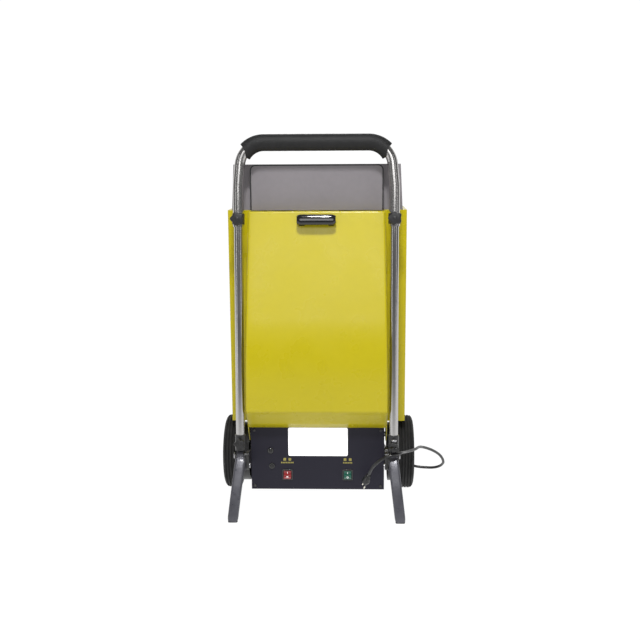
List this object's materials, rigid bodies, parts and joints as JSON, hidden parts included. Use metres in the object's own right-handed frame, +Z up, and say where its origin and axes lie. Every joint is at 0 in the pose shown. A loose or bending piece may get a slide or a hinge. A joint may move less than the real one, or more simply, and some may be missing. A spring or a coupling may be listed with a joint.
{
  "type": "upright step cleaning machine",
  "caption": "Upright brush and vacuum step cleaner: yellow sheet casing, black base with rocker switches, chromed handle loop with foam grip, ribbed wheels, bowed rear legs.",
  "frame": {"origin": "on the floor under the middle of the machine's footprint, from the legs' feet to the front bumper", "axes": "+Z up, +X to the operator's right, -Y towards the operator at the handle"},
  "size_m": [0.6907, 0.4642, 1.0822],
  "materials": {
    "black_housing": "semi-gloss powder coat",
    "panel_plastic": "satin powder coat",
    "yellow_paint": "satin powder coat",
    "grey_paint": "satin powder coat",
    "seal_rubber": "matte",
    "black_plastic": "satin",
    "black_gloss": "gloss",
    "box_plastic": "satin",
    "filter_paper": "matte",
    "motor_metal": "cast",
    "plain_steel": "zinc plated",
    "cast_bracket": "black enamel",
    "leg_metal": "satin black enamel",
    "white_plate": "satin",
    "cord_pvc": "satin",
    "pin_brass": "nickel plated",
    "tyre_rubber": "matte",
    "rim_plastic": "satin",
    "roller_rubber": "matte",
    "bristle": "matte",
    "fan_metal": "machined",
    "chrome_tube": "polished",
    "foam": "matte foam",
    "red_switch": "gloss translucent",
    "green_switch": "gloss translucent"
  },
  "bodies": {
    "chassis": {"base_housing": "black_housing", "control_panel": "panel_plastic", "front_shell": "yellow_paint", "upper_housing": "grey_paint", "door_seal": "seal_rubber", "exhaust_grille": "black_plastic", "dust_box": "box_plastic", "filter_cartridge": "filter_paper", "vacuum_motor": "motor_metal", "suction_duct": "black_plastic", "brush_motor": "motor_metal", "drive_belt": "seal_rubber", "brush_bearings": "plain_steel", "front_bumper": "seal_rubber", "brush_skirt": "seal_rubber", "side_bracket_left": "cast_bracket", "side_bracket_right": "cast_bracket", "leg_left": "leg_metal", "leg_right": "leg_metal", "foot_pad_left": "seal_rubber", "foot_pad_right": "seal_rubber", "stub_axles": "plain_steel", "rating_plate": "white_plate", "rocker_bezels": "black_gloss", "reset_collars": "black_gloss", "cable_gland": "black_plastic", "front_roller_forks": "plain_steel", "housing_screws": "cast_bracket", "leg_pins": "plain_steel", "hinge_pins": "plain_steel", "handle_sockets": "cast_bracket", "plug_body": "cord_pvc", "plug_pins": "pin_brass", "power_cord": "cord_pvc"},
    "rear_door": {"rear_hood": "yellow_paint", "pull_handle": "black_gloss"},
    "wheel_left": {"tyre_left": "tyre_rubber", "rim_left": "rim_plastic", "wheel_bearings_left": "plain_steel"},
    "wheel_right": {"tyre_right": "tyre_rubber", "rim_right": "rim_plastic", "wheel_bearings_right": "plain_steel"},
    "front_wheel_left": {"front_roller_left": "roller_rubber"},
    "front_wheel_right": {"front_roller_right": "roller_rubber"},
    "brush": {"brush_shaft": "plain_steel", "brush_bristles": "bristle"},
    "motor_rotor": {"motor_pulley": "plain_steel"},
    "fan": {"vacuum_fan": "fan_metal"},
    "handle_tubes": {"lower_tubes": "chrome_tube"},
    "handle_loop": {"upper_loop": "chrome_tube", "foam_grip": "foam", "clamp_collars": "black_plastic"},
    "upper_knob_left": {"knob_upper_left": "black_plastic"},
    "upper_knob_right": {"knob_upper_right": "black_plastic"},
    "lower_knob_left": {"knob_lower_left": "black_plastic"},
    "lower_knob_right": {"knob_lower_right": "black_plastic"},
    "brush_switch": {"rocker_green": "green_switch"},
    "vacuum_switch": {"rocker_red": "red_switch"},
    "reset_upper": {"reset_button_upper": "black_plastic"},
    "reset_lower": {"reset_button_lower": "black_plastic"}
  },
  "joints": [
    {"name": "door_hinge", "type": "hinge", "parent": "chassis", "child": "rear_door", "pos_m": [0, -0.045, 0.205], "axis": [1, 0, 0], "range_deg": [0, 50]},
    {"name": "wheel_left_spin", "type": "hinge", "parent": "chassis", "child": "wheel_left", "pos_m": [-0.26, 0.076, 0.112], "axis": [1, 0, 0], "continuous": true},
    {"name": "wheel_right_spin", "type": "hinge", "parent": "chassis", "child": "wheel_right", "pos_m": [0.26, 0.076, 0.112], "axis": [1, 0, 0], "continuous": true},
    {"name": "front_wheel_left_spin", "type": "hinge", "parent": "chassis", "child": "front_wheel_left", "pos_m": [-0.181, 0.196, 0.016], "axis": [1, 0, 0], "continuous": true},
    {"name": "front_wheel_right_spin", "type": "hinge", "parent": "chassis", "child": "front_wheel_right", "pos_m": [0.181, 0.196, 0.016], "axis": [1, 0, 0], "continuous": true},
    {"name": "brush_spin", "type": "hinge", "parent": "chassis", "child": "brush", "pos_m": [0, 0.15, 0.062], "axis": [1, 0, 0], "continuous": true},
    {"name": "motor_spin", "type": "hinge", "parent": "chassis", "child": "motor_rotor", "pos_m": [0, 0, 0.132], "axis": [1, 0, 0], "continuous": true},
    {"name": "fan_spin", "type": "hinge", "parent": "chassis", "child": "fan", "pos_m": [0, 0.1, 0.85], "axis": [0, 0, 1], "continuous": true},
    {"name": "handle_draw", "type": "slide", "parent": "chassis", "child": "handle_tubes", "axis": [0, 0.0976, 0.9952], "range_m": [0, 0.035]},
    {"name": "handle_height", "type": "slide", "parent": "handle_tubes", "child": "handle_loop", "axis": [0, 0.0976, 0.9952], "range_m": [-0.025, 0.05]},
    {"name": "upper_knob_left_turn", "type": "hinge", "parent": "handle_loop", "child": "upper_knob_left", "pos_m": [-0.2205, -0.1095, 0.84968], "axis": [0, -0.9952, 0.0976], "continuous": true},
    {"name": "upper_knob_right_turn", "type": "hinge", "parent": "handle_loop", "child": "upper_knob_right", "pos_m": [0.2205, -0.1095, 0.84968], "axis": [0, -0.9952, 0.0976], "continuous": true},
    {"name": "lower_knob_left_turn", "type": "hinge", "parent": "chassis", "child": "lower_knob_left", "pos_m": [-0.2205, -0.17195, 0.21274], "axis": [0, -0.9952, 0.0976], "continuous": true},
    {"name": "lower_knob_right_turn", "type": "hinge", "parent": "chassis", "child": "lower_knob_right", "pos_m": [0.2205, -0.17641, 0.20313], "axis": [0, 0.0976, 0.9952], "continuous": true},
    {"name": "vacuum_switch_rock", "type": "hinge", "parent": "chassis", "child": "vacuum_switch", "pos_m": [-0.0895, -0.086, 0.093], "axis": [1, 0, 0], "range_deg": [0, 11]},
    {"name": "brush_switch_rock", "type": "hinge", "parent": "chassis", "child": "brush_switch", "pos_m": [0.0885, -0.086, 0.093], "axis": [1, 0, 0], "range_deg": [0, 11]},
    {"name": "reset_upper_press", "type": "slide", "parent": "chassis", "child": "reset_upper", "axis": [0, 1, 0], "range_m": [0, 0.0025], "stiffness_N_per_m": 400, "springref_m": -0.002},
    {"name": "reset_lower_press", "type": "slide", "parent": "chassis", "child": "reset_lower", "axis": [0, 1, 0], "range_m": [0, 0.0025], "stiffness_N_per_m": 400, "springref_m": -0.002}
  ],
  "couplings": [
    {"joint": "motor_spin", "follows": "brush_spin", "ratio": 2}
  ]
}
